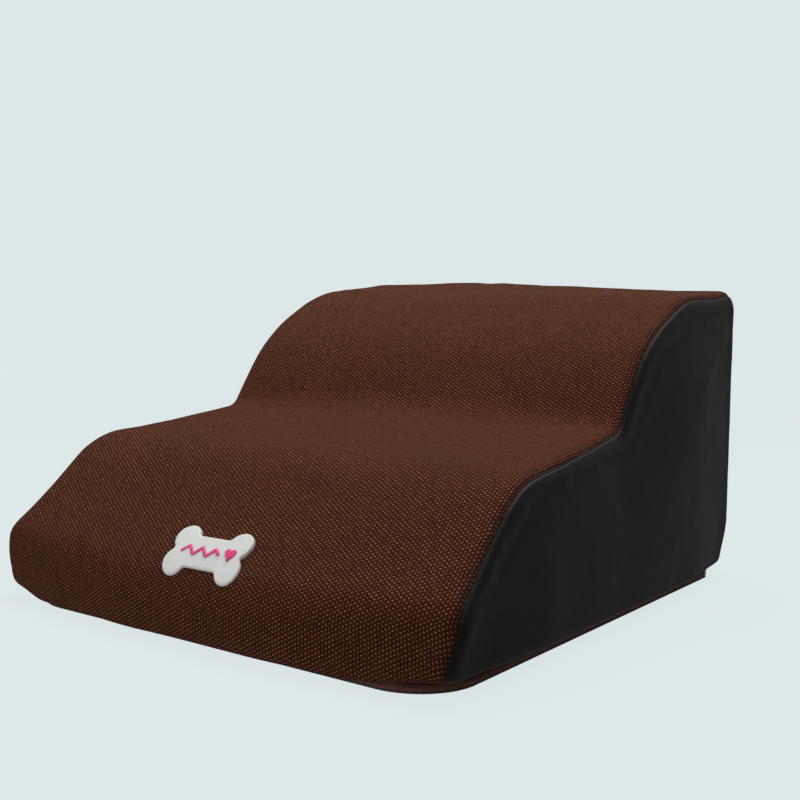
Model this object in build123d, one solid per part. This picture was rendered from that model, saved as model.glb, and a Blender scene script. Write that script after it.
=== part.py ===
from build123d import *
import math
import os

# Two-step foam dog ramp: one block of sponge in a sewn, zip-off cover.
# Frame: millimetres, X across the ramp, Y from the low front end (-Y) to the
# tall back end (+Y), Z up, origin on the floor under the middle of the box.

# ---------------------------------------------------------------- dimensions
WIDTH = 300.0            # across, at the widest part of the sides
DEPTH = 350.0            # front to back
HEIGHT = 200.0           # floor to the highest point of the top step
SKIN = 1.8               # fabric with its thin backing
EDGE_R = 8.0             # rounding of every sewn edge
SIDE_CROWN = 3.0         # how far the middle of a side stands out past its ends
FRONT_CROWN = 8.5        # how far the middle of the front stands out past its ends
WALL_Z = 10.3            # lower edge of the walls, where the zip tape begins

# side profile: corners of the upper outline (y, z) and the radius at each
SLOPE_Z = 33.0           # height of the front slope at the front face
KNEE1 = (-113.0, 90.5, 60.0)    # front edge of the lower step
NOTCH = (4.0, 108.0, 18.0)      # foot of the riser
KNEE2 = (39.0, 159.0, 90.0)     # head of the riser
KNEE3 = (88.0, 184.5, 150.0)    # shoulder of the top step
BACK_R = 14.0                   # top back edge
TOP_SLOPE = 0.19                # rise of the top step towards the back

# seams between the woven top panel and the side panels
SEAM_IN = EDGE_R * (1 - math.cos(math.radians(45)))
SEAM_HALF = 0.2

# base and zip
RING_X = 143.5           # outer face of the zip tape, sides
RING_FRONT = -166.5      # outer face of the zip tape, front
RING_BACK = 168.5        # outer face of the hinge strip, back
RING_R_FRONT = 32.0
RING_R_BACK = 18.0
BASE_T = 1.8             # non-slip base cloth with its dots
ZIP_Z = 5.9              # height of the parting line
ZIP_GAP = 0.8            # between the two rows of teeth
TAPE_T = 0.6
COIL_H = 1.8             # height of one row
COIL_D = 1.6             # depth of the teeth in front of the tape
ZIP_END_Y = 150.0        # where both ends of the zip stop on the sides
CORE_GAP = 2.6           # from the outer face of the tape to the sponge

SLIDER_Y = 139.0         # slider at the closed end of the zip, on the left side
SLIDER_L = 10.0
SLIDER_W = 7.0
PLATE_T = 1.0
CROSSBAR_R = 0.6
PULL_T = 1.2
PULL_W = 4.8
PULL_L = 24.0

# badge on the front slope
BADGE_T = 2.0
BADGE_X = 5.0            # a little to the right of the middle
BADGE_S = 16.6           # distance up the slope from the front face to its middle
BADGE_W = 52.0
BADGE_H = 29.0
LOBE_R = 7.0
SHAFT_H = 17.4
MOTIF_T = 0.5

os.makedirs("parts", exist_ok=True)
BIG = 400.0


# ------------------------------------------------------------------- helpers
def outline(corners, inset=0.0):
    """Closed face in (u, v) from (u, v, radius) corners given anticlockwise,
    moved inward by inset with every radius kept concentric."""
    pts = [(c[0], c[1]) for c in corners]
    rad = [c[2] for c in corners]
    n = len(pts)
    lines = []
    for i in range(n):
        (x0, y0), (x1, y1) = pts[i], pts[(i + 1) % n]
        length = math.hypot(x1 - x0, y1 - y0)
        dx, dy = (x1 - x0) / length, (y1 - y0) / length
        lines.append((x0 - dy * inset, y0 + dx * inset, dx, dy))
    moved = []
    for i in range(n):
        ax, ay, adx, ady = lines[i - 1]
        bx, by, bdx, bdy = lines[i]
        det = adx * bdy - ady * bdx
        s = ((bx - ax) * bdy - (by - ay) * bdx) / det
        moved.append((ax + adx * s, ay + ady * s))
    edges, starts, ends = [], [], []
    for i in range(n):
        px, py = moved[i]
        qx, qy = moved[i - 1]
        rx, ry = moved[(i + 1) % n]
        la, lb = math.hypot(qx - px, qy - py), math.hypot(rx - px, ry - py)
        ax, ay = (qx - px) / la, (qy - py) / la
        bx, by = (rx - px) / lb, (ry - py) / lb
        convex = lines[i - 1][2] * lines[i][3] - lines[i - 1][3] * lines[i][2] > 0
        r = rad[i] - inset if convex else rad[i] + inset
        if rad[i] <= 0:
            starts.append((px, py))
            ends.append((px, py))
            continue
        half = math.acos(max(-1.0, min(1.0, ax * bx + ay * by))) / 2
        t = r / math.tan(half)
        hx, hy = ax + bx, ay + by
        h = math.hypot(hx, hy)
        hx, hy = hx / h, hy / h
        mid = r / math.sin(half) - r
        a = (px + ax * t, py + ay * t)
        b = (px + bx * t, py + by * t)
        edges.append(ThreePointArc(a, (px + hx * mid, py + hy * mid), b))
        starts.append(a)
        ends.append(b)
    for i in range(n):
        edges.append(Line(ends[i], starts[(i + 1) % n]))
    return make_face(Wire(edges))


def across(face, half):
    """A (y, z) face swept along X from -half to +half."""
    plane = Plane(origin=(-half, 0, 0), x_dir=(0, 1, 0), z_dir=(1, 0, 0))
    return extrude(plane * face, amount=2 * half)


def upright(face, z0, z1):
    """An (x, y) face swept up from z0 to z1."""
    return extrude(Pos(0, 0, z0) * face, amount=z1 - z0)


def box(x0, y0, z0, x1, y1, z1):
    return Pos((x0 + x1) / 2, (y0 + y1) / 2, (z0 + z1) / 2) * Box(
        x1 - x0, y1 - y0, z1 - z0
    )


# top corner height that makes the rounded back edge peak at HEIGHT
slope_angle = math.atan(TOP_SLOPE)
corner_z = HEIGHT - BACK_R + BACK_R / math.cos(slope_angle) + TOP_SLOPE * BACK_R
y_front, y_back = -DEPTH / 2, DEPTH / 2
slope = (KNEE1[1] - SLOPE_Z) / (KNEE1[0] - y_front)
k3z = corner_z - TOP_SLOPE * (y_back - KNEE3[0])
REACH = 20.0             # how far the profile runs on in front, before the front face cuts it


def profile(inset, z_low):
    zf = SLOPE_Z - slope * REACH
    pts = [
        (y_front - REACH, z_low, 0),
        (y_back, z_low, 0),
        (y_back, corner_z, BACK_R),
        (KNEE3[0], k3z, KNEE3[2]),
        (KNEE2[0], KNEE2[1], KNEE2[2]),
        (NOTCH[0], NOTCH[1], NOTCH[2]),
        (KNEE1[0], KNEE1[1], KNEE1[2]),
        (y_front - REACH, zf, 0),
    ]
    return outline(pts, inset)


side_r = (170.0**2 + SIDE_CROWN**2) / (2 * SIDE_CROWN)
front_r = (146.0**2 + FRONT_CROWN**2) / (2 * FRONT_CROWN)


def side_x(y, inset=0.0):
    r = side_r - inset
    return WIDTH / 2 - side_r + math.sqrt(r * r - y * y)


def front_y(x, inset=0.0):
    r = front_r - inset
    return y_front + front_r - math.sqrt(r * r - x * x)


def side_column(inset, z0=-10.0, z1=260.0):
    """Everything between the two crowned side surfaces, moved in by inset."""
    e, m = side_x(230, inset), side_x(0, inset)
    w = Wire(
        [
            ThreePointArc((e, -230), (m, 0), (e, 230)),
            Line((e, 230), (-e, 230)),
            ThreePointArc((-e, 230), (-m, 0), (-e, -230)),
            Line((-e, -230), (e, -230)),
        ]
    )
    return upright(make_face(w), z0, z1)


def front_column(inset, z0=-10.0, z1=260.0):
    """Everything behind the crowned front surface, moved in by inset."""
    e, m = front_y(220, inset), front_y(0, inset)
    w = Wire(
        [
            ThreePointArc((-220, e), (0, m), (220, e)),
            Line((220, e), (220, 260)),
            Line((220, 260), (-220, 260)),
            Line((-220, 260), (-220, e)),
        ]
    )
    return upright(make_face(w), z0, z1)


def body(inset):
    """The cushion's rounded form, moved in by inset all round."""
    solid = across(profile(inset, WALL_Z), 200)
    solid = solid & side_column(inset)
    solid = solid & front_column(inset)
    solid = solid.solids()[0]
    picked = []
    for f in solid.faces():
        c = f.center()
        bb = f.bounding_box()
        flat_bottom = bb.size.Z < 1e-3 and abs(bb.min.Z - (WALL_Z + inset)) < 1e-3
        side = abs(c.X) > 140
        front = bb.max.Y < y_front + 14 and bb.size.Z > 5 and bb.size.X > 200
        if flat_bottom or side or front:
            for e in f.edges():
                if not any(e.is_same(p) for p in picked):
                    picked.append(e)
    return fillet(picked, EDGE_R - inset).solids()[0]


def ring_outline(inset):
    pts = [
        (-RING_X, RING_FRONT, RING_R_FRONT),
        (RING_X, RING_FRONT, RING_R_FRONT),
        (RING_X, RING_BACK, RING_R_BACK),
        (-RING_X, RING_BACK, RING_R_BACK),
    ]
    return outline(pts, inset)


def ring(inner, outer, z0, z1):
    """A band round the base between two insets of its outline."""
    return upright(ring_outline(outer), z0, z1) - upright(
        ring_outline(inner), z0 - 1, z1 + 1
    )


front_zone = box(-BIG, -BIG, -1, BIG, ZIP_END_Y, 60)
back_zone = box(-BIG, ZIP_END_Y, -1, BIG, BIG, 60)
nodes = {}

# ------------------------------------------------------- sponge and the cover
outer = body(0.0)
inner = body(SKIN)
core_column = upright(ring_outline(CORE_GAP), BASE_T, WALL_Z + SKIN)
nodes["foam_core"] = inner + core_column
shell = outer - inner - upright(ring_outline(CORE_GAP), 0, WALL_Z + SKIN + 5)

# the low band along each side, where the side panel turns under
low_side = box(141, -164, 0, BIG, 163, WALL_Z + 6) + box(
    -BIG, -164, 0, -141, 163, WALL_Z + 6
)
column_out = side_column(SEAM_IN - SEAM_HALF)
column_in = side_column(SEAM_IN + SEAM_HALF)
sides = (shell - column_out) + (shell & low_side)
middle = (shell & column_in) - low_side


def sharp_body(inset):
    """The same form without its rounded edges, for the thread inside the seams."""
    return across(profile(inset, WALL_Z), 200) & front_column(inset)


band = sharp_body(SEAM_IN + 0.36) - sharp_body(SEAM_IN + 1.26)
seam_loops = ((band & column_out) - column_in) - low_side
nodes["right_side_panel"] = sides & box(0, -BIG, -1, BIG, BIG, 260)
nodes["left_side_panel"] = sides & box(-BIG, -BIG, -1, 0, BIG, 260)
nodes["seam_thread_right"] = seam_loops & box(0, -BIG, -1, BIG, BIG, 260)
nodes["seam_thread_left"] = seam_loops & box(-BIG, -BIG, -1, 0, BIG, 260)

# the seam across the top back edge, on a ray through the middle of its rounding
arc_y, arc_z = y_back - BACK_R, HEIGHT - BACK_R
ray = math.radians(48)
ry, rz = math.cos(ray), math.sin(ray)


def wedge(shift):
    """(y, z) region behind and below the ray, moved along its normal."""
    oy, oz = arc_y - rz * shift, arc_z + ry * shift
    pts = [
        (oy, -5),
        (oy + 120, -5),
        (oy + 120 * 1.0, oz + 120 * rz / ry),
        (oy, oz),
    ]
    return across(make_face(Wire([Line(pts[i], pts[(i + 1) % 4]) for i in range(4)])), 200)


behind, behind_less = wedge(SEAM_HALF), wedge(-SEAM_HALF)
upper_half = box(-BIG, -BIG, 60, BIG, BIG, 260)
nodes["top_panel"] = middle - behind
nodes["back_panel"] = middle & behind_less
nodes["seam_thread_back"] = ((middle & behind) - behind_less) & upper_half
# the under-turned edge has no cross seam: its thin slice stays with the top panel
nodes["top_panel"] = nodes["top_panel"] + (
    ((middle & behind) - behind_less) - upper_half
)

# ------------------------------------------------------------------ base, zip
nodes["base_panel"] = upright(ring_outline(0), 0, BASE_T)
nodes["back_gusset_strip"] = ring(TAPE_T, 0, BASE_T, WALL_Z) & back_zone
z_hi, z_lo = ZIP_Z + ZIP_GAP / 2, ZIP_Z - ZIP_GAP / 2
nodes["zipper_tape_upper"] = ring(TAPE_T, 0, z_hi, WALL_Z) & front_zone
nodes["zipper_tape_lower"] = ring(TAPE_T, 0, BASE_T, z_lo) & front_zone
teeth_zone = box(-BIG, -BIG, -1, BIG, ZIP_END_Y - 4, 60)
nodes["zipper_coil_upper"] = ring(0, -COIL_D, z_hi, z_hi + COIL_H) & teeth_zone
nodes["zipper_coil_lower"] = ring(0, -COIL_D, z_lo - COIL_H, z_lo) & teeth_zone
stitch = (ring(0, -0.25, WALL_Z - 0.6, WALL_Z - 0.3) & front_zone) + (
    ring(0, -0.25, BASE_T + 0.15, BASE_T + 0.45) & front_zone
)
nodes["zipper_stitching"] = stitch

# stops: two small ones at the closed end on the left, one block on the right
stop_y0, stop_y1 = ZIP_END_Y - 3.8, ZIP_END_Y - 2.0
nodes["zipper_top_stops"] = box(
    -RING_X - 1.5, stop_y0, z_hi, -RING_X, stop_y1, z_hi + COIL_H
) + box(-RING_X - 1.5, stop_y0, z_lo - COIL_H, -RING_X, stop_y1, z_lo)
block = box(
    RING_X, stop_y0, z_lo - COIL_H, RING_X + 1.7, stop_y0 + 3.0, z_hi + COIL_H
)
nodes["zipper_bottom_stop"] = fillet(
    block.edges().filter_by(Axis.X), 0.8
)

# slider: outer plate with two flanges, inner plate, web, bridge
w2, l2 = SLIDER_W / 2, SLIDER_L / 2
plate_x = -(RING_X + COIL_D + 0.3)           # inner face of the outer plate
sy = SLIDER_Y
outer_plate = box(plate_x - PLATE_T, sy - l2, ZIP_Z - w2, plate_x, sy + l2, ZIP_Z + w2)
outer_plate = fillet(outer_plate.edges().filter_by(Axis.X), 2.0)
flange_hi = box(
    plate_x - 0.2, sy - l2 + 2, ZIP_Z + w2 - 0.9, -RING_X - 0.3, sy + l2 - 2, ZIP_Z + w2
)
flange_lo = box(
    plate_x - 0.2, sy - l2 + 2, ZIP_Z - w2, -RING_X - 0.3, sy + l2 - 2, ZIP_Z - w2 + 0.9
)
in_x = -RING_X + TAPE_T + 0.3
inner_plate = box(in_x, sy - l2, ZIP_Z - w2, in_x + PLATE_T, sy + l2, ZIP_Z + w2)
inner_plate = fillet(inner_plate.edges().filter_by(Axis.X), 2.0)
web = box(plate_x - 0.1, sy - l2 + 2, ZIP_Z - 0.15, in_x + 0.1, sy + l2 - 2, ZIP_Z + 0.15)
top_x = plate_x - PLATE_T
bridge = box(top_x - 2.6, sy - 3.6, ZIP_Z - 0.7, top_x, sy + 3.6, ZIP_Z + 0.7)
bridge = fillet(
    bridge.edges().filter_by(Axis.Z).group_by(Axis.X)[0], 1.4
)
bridge = bridge - box(top_x - 1.7, sy - 2.7, ZIP_Z - 1, top_x + 0.0, sy + 2.7, ZIP_Z + 1)
nodes["zipper_slider"] = outer_plate + flange_hi + flange_lo + inner_plate + web + bridge

# pull: a crossbar under the bridge, two arms and a tab that lies along the tape
pivot = top_x - 0.85
bar = Pos(pivot, sy, ZIP_Z) * Cylinder(CROSSBAR_R, PULL_W)
arms = None
for s in (-1, 1):
    z_out, z_in = ZIP_Z + s * PULL_W / 2, ZIP_Z + s * 1.05
    a = box(
        pivot - PULL_T / 2, sy, min(z_out, z_in), pivot + PULL_T / 2, sy + 6.2, max(z_out, z_in)
    )
    a = a + Pos(pivot, sy, (z_out + z_in) / 2) * Cylinder(PULL_T / 2, abs(z_out - z_in))
    arms = a if arms is None else arms + a
tab = box(
    pivot - PULL_T / 2, sy + 5.0, ZIP_Z - PULL_W / 2, pivot + PULL_T / 2, sy + PULL_L, ZIP_Z + PULL_W / 2
)
tab = fillet(tab.edges().filter_by(Axis.X).group_by(Axis.Y)[-1], 1.8)
hole = Pos(pivot, sy + PULL_L - 4.2, ZIP_Z) * Rot(0, 90, 0) * Cylinder(1.1, 5)
nodes["zipper_pull"] = bar + arms + tab - hole

# -------------------------------------------------------------------- badge
theta = math.atan(slope)
ty, tz = math.cos(theta), math.sin(theta)
badge_plane = Plane(
    origin=(BADGE_X, y_front + BADGE_S * ty, SLOPE_Z + BADGE_S * tz),
    x_dir=(1, 0, 0),
    z_dir=(0, -tz, ty),
)
lx, ly = BADGE_W / 2 - LOBE_R, BADGE_H / 2 - LOBE_R
bone = Rectangle(2 * lx, SHAFT_H)
for sx in (-1, 1):
    for s in (-1, 1):
        bone = bone + Pos(sx * lx, s * ly) * Circle(LOBE_R)
badge = extrude(badge_plane * bone, amount=BADGE_T)
top_edges = badge.edges().filter_by(
    lambda e: abs((e.center() - badge_plane.origin).dot(badge_plane.z_dir) - BADGE_T) < 1e-3
)
nodes["bone_badge"] = fillet(top_edges, 0.7)

# raised motif: a wavy stroke and a small heart
stroke = None
WAVE = [(-17.0, -1.6), (-12.5, 2.4), (-8.0, -2.4), (-3.5, 2.4), (1.0, -2.4), (5.5, 2.4), (9.0, -0.6)]
for a, b in zip(WAVE[:-1], WAVE[1:]):
    dx, dy = b[0] - a[0], b[1] - a[1]
    seg = Pos((a[0] + b[0]) / 2, (a[1] + b[1]) / 2) * Rot(
        0, 0, math.degrees(math.atan2(dy, dx))
    ) * SlotOverall(math.hypot(dx, dy) + 1.5, 1.5)
    stroke = seg if stroke is None else stroke + seg
heart = (
    Pos(14.55, 2.6) * Circle(1.9)
    + Pos(17.85, 2.6) * Circle(1.9)
    + make_face(
        Wire(
            [
                Line((13.1, 1.4), (19.3, 1.4)),
                Line((19.3, 1.4), (16.2, -2.2)),
                Line((16.2, -2.2), (13.1, 1.4)),
            ]
        )
    )
)
motif_plane = badge_plane.offset(BADGE_T)
nodes["badge_motif"] = extrude(motif_plane * stroke, amount=MOTIF_T) + extrude(
    motif_plane * heart, amount=MOTIF_T
)

# --------------------------------------------------------------------- write
for name, shape in nodes.items():
    solids = [s for s in shape.solids() if s.volume > 0.02]
    export_step(Compound(children=solids) if len(solids) > 1 else solids[0], f"parts/{name}.step")
    bb = Compound(children=solids).bounding_box()
    print(
        f"{name:20s} {len(solids):3d} solids  {sum(s.volume for s in solids):12.1f} mm3  "
        f"x {bb.min.X:7.1f} {bb.max.X:7.1f}  y {bb.min.Y:7.1f} {bb.max.Y:7.1f}  z {bb.min.Z:6.1f} {bb.max.Z:6.1f}"
    )
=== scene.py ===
import math
import bpy
import numpy as np
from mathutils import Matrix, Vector


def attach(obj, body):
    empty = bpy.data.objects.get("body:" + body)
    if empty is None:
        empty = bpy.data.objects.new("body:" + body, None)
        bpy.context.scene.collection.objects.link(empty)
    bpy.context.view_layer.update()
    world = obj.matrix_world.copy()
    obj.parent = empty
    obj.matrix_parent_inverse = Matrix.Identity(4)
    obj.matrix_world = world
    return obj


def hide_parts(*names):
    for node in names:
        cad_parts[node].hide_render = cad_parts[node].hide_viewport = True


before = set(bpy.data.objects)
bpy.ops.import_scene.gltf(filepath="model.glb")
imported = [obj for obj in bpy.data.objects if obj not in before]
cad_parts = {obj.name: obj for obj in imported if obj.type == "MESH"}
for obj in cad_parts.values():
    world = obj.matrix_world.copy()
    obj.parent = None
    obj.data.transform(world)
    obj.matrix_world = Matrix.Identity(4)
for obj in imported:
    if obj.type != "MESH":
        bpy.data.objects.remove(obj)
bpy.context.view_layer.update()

MM = 0.001

# ------------------------------------------------------------------ the form
# Millimetres, in the row frame. The same driving sizes as the CAD.
FRONT, BACK, TOP = -175.0, 175.0, 200.0
EDGE_R = 8.0
SEAM_A = math.radians(45)
SEAM_IN = EDGE_R * (1 - math.cos(SEAM_A))
SIDE_CROWN, FRONT_CROWN = 3.0, 8.5
SIDE_R = (170.0**2 + SIDE_CROWN**2) / (2 * SIDE_CROWN)
FRONT_R = (146.0**2 + FRONT_CROWN**2) / (2 * FRONT_CROWN)
SLOPE_Z = 33.0
K1, N1, K2, K3 = (-113.0, 90.5), (4.0, 108.0), (39.0, 159.0), (88.0, 184.5)
SLOPE = (K1[1] - SLOPE_Z) / (K1[0] - FRONT)
TOP_SLOPE = 0.19
BACK_RAD = 14.0
CORNER_Z = TOP - BACK_RAD + BACK_RAD / math.cos(math.atan(TOP_SLOPE)) + TOP_SLOPE * BACK_RAD
RAY = math.radians(48)
RING_X, RING_FRONT, RING_BACK, RING_RF, RING_RB = 143.5, -166.5, 168.5, 32.0, 18.0
WALL_Z, TAPE_T, ZIP_Z, ZIP_GAP, BASE_T = 10.3, 0.6, 5.9, 0.8, 1.8
ZIP_END_Y = 150.0
JOIN_Z = 17.0            # below this the walls curl in to the zip


def smooth(a, b, x):
    t = np.clip((np.asarray(x, float) - a) / (b - a), 0, 1)
    return t * t * (3 - 2 * t)


def side_x(y):
    return 150.0 - SIDE_R + np.sqrt(SIDE_R**2 - np.asarray(y, float) ** 2)


def front_y(x):
    return FRONT + FRONT_R - np.sqrt(FRONT_R**2 - np.asarray(x, float) ** 2)


def roll(e):
    """How far the rounded sewn edge drops, at a distance e in from the seam."""
    reach = EDGE_R * math.sin(SEAM_A)
    s = np.clip((reach - np.asarray(e, float)) / EDGE_R, 0, math.sin(SEAM_A))
    return EDGE_R * (1 - np.sqrt(1 - s * s))


def relax(P, hold=None):
    """The stuffed cover's own shape: fuller at the low front and behind, drawn in at the waist
    beside the riser. Nothing moves at the foot, where the zip holds it."""
    P = np.array(P, float)
    x, y, z = P[..., 0].copy(), P[..., 1].copy(), P[..., 2].copy()
    on = smooth(7, 38, z)
    front, back = np.clip(-y / 175, 0, 1), np.clip(y / 175, 0, 1)
    riser = np.exp(-(((y - 15) / 45) ** 2))
    waist = 1.8 * np.exp(-(((y - 20) / 55) ** 2)) * smooth(60, 110, z)
    P[..., 0] = x * (1 + on * (0.045 * front + 0.013 * back)) - x / 150 * waist
    near = np.exp(-(((y + 168) / 42) ** 2)) * (smooth(5, 18, z) if hold is None else hold)
    low_l = 13.0 * np.exp(-(((z - 20) / np.where(z > 20, 28, 17)) ** 2))
    low_r = 2.6 * np.exp(-(((z - 32) / 26) ** 2))
    P[..., 0] += x / 150 * near * np.where(x < 0, low_l, low_r)
    P[..., 1] = y + on * 7.0 * back - on * 3.6 * np.exp(-(((z - 135) / 36) ** 2)) * riser
    P[..., 2] = z + on * (2.2 - 1.2 * x / 150) * np.exp(-(((y + 125) / 45) ** 2))
    high = smooth(95, 192, z) * smooth(15, 80, y)
    P[..., 2] += high * (4.2 * smooth(60, 148, -x) * (1 - smooth(90, 165, y)) - 9.0 * smooth(-90, 150, x) ** 1.1 * smooth(78, 160, y))
    # small puckers along the top back edge
    P[..., 2] += 0.9 * noise(x / 12.0 + 31, y / 40.0, 2.5) * np.exp(-(((y - 172) / 13) ** 2)) * smooth(165, 186, z)
    return P


# value noise, seeded, for slow undulations of cloth
_rng = np.random.default_rng(7)
_grid = _rng.uniform(-1, 1, (64, 64, 64))


def noise(x, y, z=0.0):
    x, y, z = np.broadcast_arrays(*(np.asarray(v, float) for v in (x, y, z)))
    i = [np.floor(v).astype(int) for v in (x, y, z)]
    f = [v - j for v, j in zip((x, y, z), i)]
    f = [g * g * g * (g * (6 * g - 15) + 10) for g in f]
    out = 0.0
    for a in (0, 1):
        for b in (0, 1):
            for c in (0, 1):
                w = (f[0] if a else 1 - f[0]) * (f[1] if b else 1 - f[1]) * (f[2] if c else 1 - f[2])
                out = out + w * _grid[(i[0] + a) % 64, (i[1] + b) % 64, (i[2] + c) % 64]
    return out


def fbm(x, y, z=0.0, n=3):
    return sum(noise(x * 2**k, y * 2**k, z * 2**k + 11 * k) / 2**k for k in range(n))


def path(corners, counts, inset=0.0, n_arc=10):
    """Open outline in (y, z) through (y, z, r, n_arc) corners, moved inward by inset.
    The same counts give the same number of points, so paths can be matched row by row."""
    P = np.array([c[:2] for c in corners], float)
    d = np.diff(P, axis=0)
    d /= np.linalg.norm(d, axis=1)[:, None]
    nrm = np.stack([d[:, 1], -d[:, 0]], 1)
    Q = [P[0] + nrm[0] * inset]
    for i in range(1, len(P) - 1):
        a, b = P[i] + nrm[i - 1] * inset, P[i] + nrm[i] * inset
        m = np.array([d[i - 1], -d[i]]).T
        Q.append(a + d[i - 1] * np.linalg.solve(m, b - a)[0])
    Q.append(P[-1] + nrm[-1] * inset)
    Q = np.array(Q)
    out, prev = [], Q[0]
    kinds = []
    for i in range(1, len(Q)):
        last = i == len(Q) - 1
        if last:
            arc = [Q[i]]
        else:
            turn = d[i - 1][0] * d[i][1] - d[i - 1][1] * d[i][0]
            convex = turn < 0
            r = corners[i][2] + (-inset if convex else inset)
            th = math.acos(np.clip(d[i - 1] @ d[i], -1, 1))
            t = r * math.tan(th / 2)
            a, b = Q[i] - d[i - 1] * t, Q[i] + d[i] * t
            side = np.array([d[i - 1][1], -d[i - 1][0]]) * (1 if convex else -1)
            c = a + side * r
            a0 = math.atan2(*(a - c)[::-1])
            sweep = -th if convex else th
            na = corners[i][3]
            arc = [c + r * np.array([math.cos(a0 + sweep * k / na), math.sin(a0 + sweep * k / na)]) for k in range(na + 1)]
        n = counts[i - 1]
        for k in range(n):
            out.append(prev + (arc[0] - prev) * k / n)
        if last:
            out.append(Q[i])
        else:
            out.extend(arc[:-1])
            prev = arc[-1]
    return np.array(out)


def top_corners(x, g, gf):
    """Corners of the top panel's outline at x. g is 1 in the middle of the width and 0 at
    the seams; gf the same for the front."""
    yf = float(front_y(x)) - 2.5 * gf
    # in the middle the foam pushes the slope out and the cloth bridges the foot of the riser
    lift = 1.6 * g
    z0 = SLOPE_Z + lift * 1.2
    zk = z0 + (yf - FRONT) * SLOPE
    return [
        (yf, JOIN_Z - 0.0, 0, 0),
        (yf, zk, 12.0 + 21.0 * gf, 10),
        (K1[0], K1[1] + lift * 1.1, 60, 16),
        (N1[0] + 1.0 * g, N1[1] + 1.2 * lift, 14 + 22 * g, 14),
        (K2[0] - 0.5 * g, K2[1] + 0.8 * lift, 88, 16),
        (K3[0], K3[1] + lift, 150, 16),
        (BACK, CORNER_Z + 0.5 * g, BACK_RAD, 16),
        (BACK, JOIN_Z, 0, 0),
    ]


COUNTS = [4, 20, 34, 12, 6, 20, 52]
SEAM_CORNERS = top_corners(146.0, 0.0, 0.0)


def seam_path(inset):
    return path(SEAM_CORNERS, COUNTS, inset)


_p = seam_path(SEAM_IN)
# rows that belong to the top panel: up to the ray through the back arc
_arc_c = np.array([BACK - BACK_RAD, TOP - BACK_RAD])
_n_back = COUNTS[-1]
N_ALL = len(_p)
I_BACK_END = N_ALL - _n_back - 1          # first point of the straight back
I_ARC0 = I_BACK_END - 16                  # first point of the back arc
I_RAY = I_ARC0 + 8                        # the seam across the top back edge
I_KNEE = 4                                # end of the straight front


# ------------------------------------------------------ where the walls meet the zip
def arc_pts(cx, cy, r, a):
    return np.stack([cx + r * np.sin(a), cy - r * np.cos(a)], -1)


SPLIT = math.radians(76)  # where on the front corner the seams meet the zip


def front_target(x, off=0.25):
    """Ring point for a front column at x."""
    x = np.asarray(x, float)
    cx, cy, r = RING_X - RING_RF, RING_FRONT + RING_RF, RING_RF
    lw, lr = 146.0, cx + r * SPLIT
    ax = np.abs(x)
    s = ax - (lw - lr) * smooth(0.45 * lw, lw, ax) * np.clip(ax / lw, 0, 2)
    s = np.minimum(s, lr)
    flat = s <= cx
    a = np.clip((s - cx) / r, 0, math.pi / 2)
    p = arc_pts(cx, cy, r + off, a)
    px = np.where(flat, s, p[..., 0])
    py = np.where(flat, cy - r - off, p[..., 1])
    return np.sign(x) * px, py


def side_target(y, off=0.25):
    """Ring point (x > 0) for a side column at y."""
    y = np.asarray(y, float)
    # front half
    cx, cy, r = RING_X - RING_RF, RING_FRONT + RING_RF, RING_RF
    lw, lr = 164.0, -cy + r * (math.pi / 2 - SPLIT)
    ay = np.clip(-y, 0, lw)
    s = ay - (lw - lr) * smooth(0.45 * lw, lw, ay) * (ay / lw)
    s = np.minimum(s, lr)
    a = np.clip((s + cy) / r, 0, math.pi / 2 - SPLIT + 1e-9)
    fx, fy = cx + (r + off) * np.cos(a), cy - (r + off) * np.sin(a)
    fx, fy = np.where(s <= -cy, RING_X + off, fx), np.where(s <= -cy, -s, fy)
    # back half
    cy2, r2 = RING_BACK - RING_RB, RING_RB
    cx2 = RING_X - RING_RB
    lw2, lr2 = 172.66, cy2 + r2 * math.pi / 4
    by = np.clip(y, 0, lw2)
    s2 = by - (lw2 - lr2) * smooth(0.6 * lw2, lw2, by) * (by / lw2)
    s2 = np.minimum(s2, lr2)
    b = np.clip((s2 - cy2) / r2, 0, math.pi / 4 + 1e-9)
    bx, byy = cx2 + (r2 + off) * np.cos(b), cy2 + (r2 + off) * np.sin(b)
    bx, byy = np.where(s2 <= cy2, RING_X + off, bx), np.where(s2 <= cy2, s2, byy)
    return np.where(y < 0, fx, bx), np.where(y < 0, fy, byy)


def back_target(x, off=0.25):
    x = np.asarray(x, float)
    cx, cy, r = RING_X - RING_RB, RING_BACK - RING_RB, RING_RB
    lw, lr = 144.7, cx + r * math.pi / 4
    ax = np.abs(x)
    s = np.minimum(ax - (lw - lr) * smooth(0.6 * lw, lw, ax) * np.clip(ax / lw, 0, 2), lr)
    a = np.clip((s - cx) / r, 0, math.pi / 2)
    px = np.where(s <= cx, s, cx + (r + off) * np.sin(a))
    py = np.where(s <= cx, cy + r + off, cy + (r + off) * np.cos(a))
    return np.sign(x) * px, py


N_LOW = 22


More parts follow.
